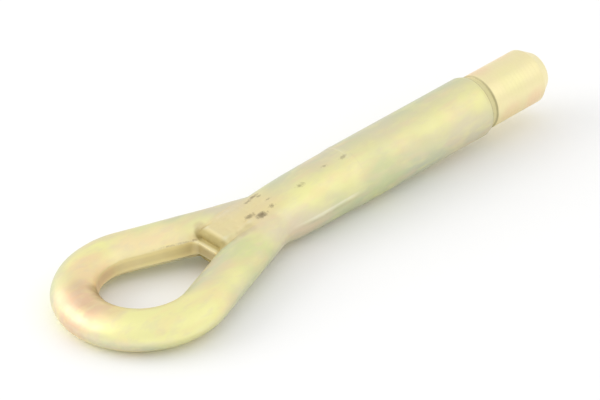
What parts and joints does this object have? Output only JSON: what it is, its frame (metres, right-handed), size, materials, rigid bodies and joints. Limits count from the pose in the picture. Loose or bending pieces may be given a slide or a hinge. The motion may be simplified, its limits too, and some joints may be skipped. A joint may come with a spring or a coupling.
{
  "type": "tow eye",
  "caption": "Screw-in car tow eye: a forged teardrop eye on a round turned shank with a threaded stud, plated yellow, for hooking up a tow rope.",
  "frame": {"origin": "on the thread axis, in the plane of the shoulder that seats against the car", "axes": "+X along the thread axis, out of the stud; the eye lies flat in XY on the -X side; +Z square to the eye, on the side the picture shows"},
  "size_m": [0.1885, 0.054, 0.0202],
  "materials": {
    "plated_steel": "forged steel, zinc plated and yellow passivated, satin with a faint rainbow tint"
  },
  "bodies": {
    "root": {"tow_eye": "plated_steel"}
  },
  "joints": []
}
